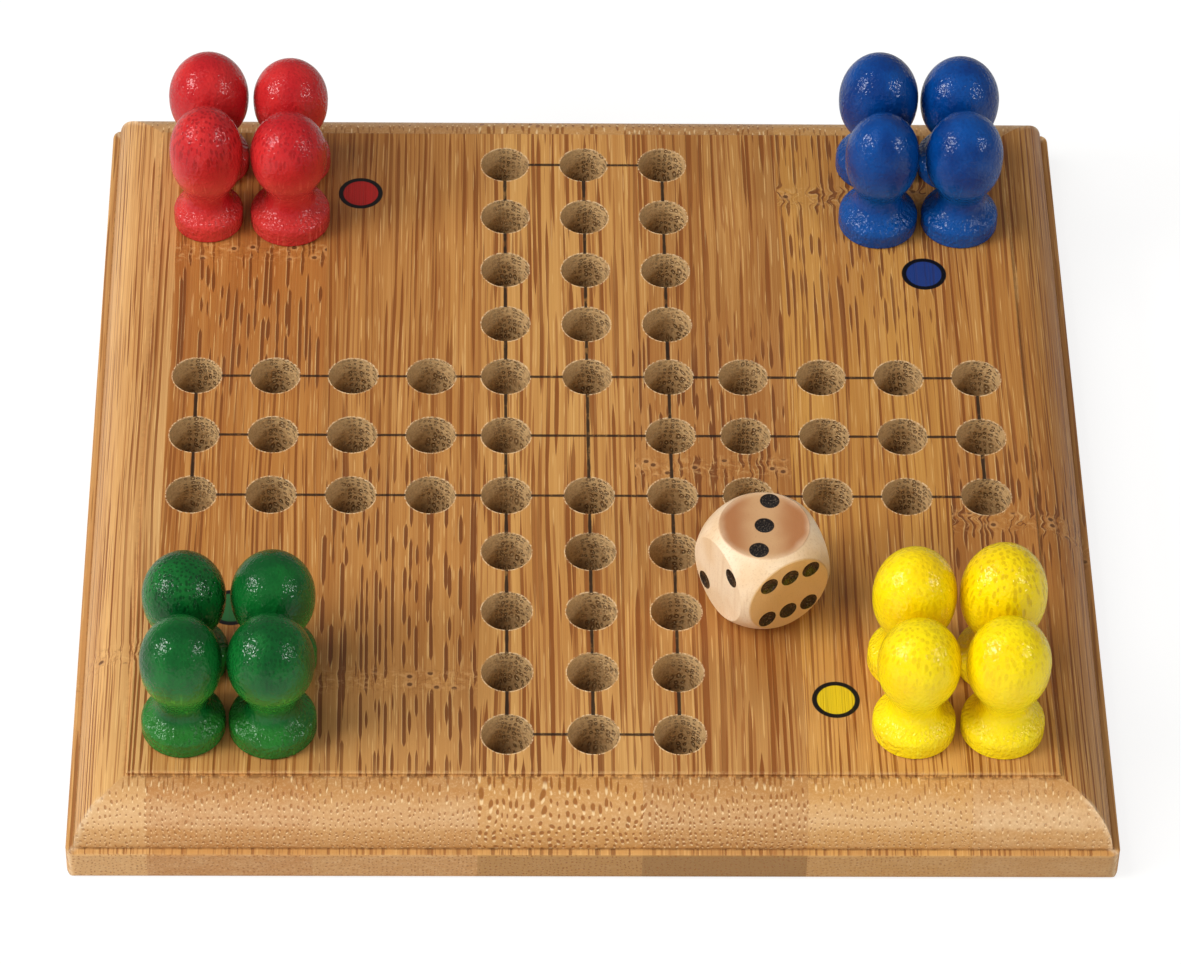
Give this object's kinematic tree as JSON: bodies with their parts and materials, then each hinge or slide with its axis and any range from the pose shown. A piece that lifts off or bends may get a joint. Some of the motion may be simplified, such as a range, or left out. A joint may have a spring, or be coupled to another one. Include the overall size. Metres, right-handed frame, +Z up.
{
  "type": "ludo board",
  "caption": "Pocket ludo board: a square slab of edge-glued bamboo staves with a moulded edge and drilled cross-shaped track, with loose turned pawns in its home holes and a wooden die",
  "frame": {"origin": "middle of the slab's flat underside", "axes": "+Z up out of the drilled face, +Y to the rear along the staves' fibres, +X to the right; red home at the rear left, blue rear right, green front left, yellow front right"},
  "size_m": [0.1396, 0.1396, 0.0338],
  "materials": {
    "bamboo": "caramel bamboo with a thin satin lacquer; burnt track lines and stained, ringed start dots",
    "red_stain": "red stained hardwood, semi-gloss",
    "blue_stain": "blue stained hardwood, semi-gloss",
    "green_stain": "green stained hardwood, semi-gloss",
    "yellow_stain": "yellow stained hardwood, semi-gloss",
    "die_wood": "pale bare hardwood, satin, with black painted pips"
  },
  "bodies": {
    "board": {"stave_1": "bamboo", "stave_2": "bamboo", "stave_3": "bamboo", "stave_4": "bamboo", "stave_5": "bamboo", "stave_6": "bamboo", "stave_7": "bamboo"},
    "pawn_red_1": {"pawn_red_1": "red_stain"},
    "pawn_red_2": {"pawn_red_2": "red_stain"},
    "pawn_red_3": {"pawn_red_3": "red_stain"},
    "pawn_red_4": {"pawn_red_4": "red_stain"},
    "pawn_blue_1": {"pawn_blue_1": "blue_stain"},
    "pawn_blue_2": {"pawn_blue_2": "blue_stain"},
    "pawn_blue_3": {"pawn_blue_3": "blue_stain"},
    "pawn_blue_4": {"pawn_blue_4": "blue_stain"},
    "pawn_green_1": {"pawn_green_1": "green_stain"},
    "pawn_green_2": {"pawn_green_2": "green_stain"},
    "pawn_green_3": {"pawn_green_3": "green_stain"},
    "pawn_green_4": {"pawn_green_4": "green_stain"},
    "pawn_yellow_1": {"pawn_yellow_1": "yellow_stain"},
    "pawn_yellow_2": {"pawn_yellow_2": "yellow_stain"},
    "pawn_yellow_3": {"pawn_yellow_3": "yellow_stain"},
    "pawn_yellow_4": {"pawn_yellow_4": "yellow_stain"},
    "die": {"die": "die_wood"}
  },
  "joints": [
    {"name": "pawn_red_1_lift", "type": "slide", "parent": "board", "child": "pawn_red_1", "axis": [0, 0, 1], "range_m": [0, 0.03]},
    {"name": "pawn_red_2_lift", "type": "slide", "parent": "board", "child": "pawn_red_2", "axis": [0, 0, 1], "range_m": [0, 0.03]},
    {"name": "pawn_red_3_lift", "type": "slide", "parent": "board", "child": "pawn_red_3", "axis": [0, 0, 1], "range_m": [0, 0.03]},
    {"name": "pawn_red_4_lift", "type": "slide", "parent": "board", "child": "pawn_red_4", "axis": [0, 0, 1], "range_m": [0, 0.03]},
    {"name": "pawn_blue_1_lift", "type": "slide", "parent": "board", "child": "pawn_blue_1", "axis": [0, 0, 1], "range_m": [0, 0.03]},
    {"name": "pawn_blue_2_lift", "type": "slide", "parent": "board", "child": "pawn_blue_2", "axis": [0, 0, 1], "range_m": [0, 0.03]},
    {"name": "pawn_blue_3_lift", "type": "slide", "parent": "board", "child": "pawn_blue_3", "axis": [0, 0, 1], "range_m": [0, 0.03]},
    {"name": "pawn_blue_4_lift", "type": "slide", "parent": "board", "child": "pawn_blue_4", "axis": [0, 0, 1], "range_m": [0, 0.03]},
    {"name": "pawn_green_1_lift", "type": "slide", "parent": "board", "child": "pawn_green_1", "axis": [0, 0, 1], "range_m": [0, 0.03]},
    {"name": "pawn_green_2_lift", "type": "slide", "parent": "board", "child": "pawn_green_2", "axis": [0, 0, 1], "range_m": [0, 0.03]},
    {"name": "pawn_green_3_lift", "type": "slide", "parent": "board", "child": "pawn_green_3", "axis": [0, 0, 1], "range_m": [0, 0.03]},
    {"name": "pawn_green_4_lift", "type": "slide", "parent": "board", "child": "pawn_green_4", "axis": [0, 0, 1], "range_m": [0, 0.03]},
    {"name": "pawn_yellow_1_lift", "type": "slide", "parent": "board", "child": "pawn_yellow_1", "axis": [0, 0, 1], "range_m": [0, 0.03]},
    {"name": "pawn_yellow_2_lift", "type": "slide", "parent": "board", "child": "pawn_yellow_2", "axis": [0, 0, 1], "range_m": [0, 0.03]},
    {"name": "pawn_yellow_3_lift", "type": "slide", "parent": "board", "child": "pawn_yellow_3", "axis": [0, 0, 1], "range_m": [0, 0.03]},
    {"name": "pawn_yellow_4_lift", "type": "slide", "parent": "board", "child": "pawn_yellow_4", "axis": [0, 0, 1], "range_m": [0, 0.03]},
    {"name": "die_lift", "type": "slide", "parent": "board", "child": "die", "axis": [0, 0, 1], "range_m": [0, 0.03]}
  ]
}
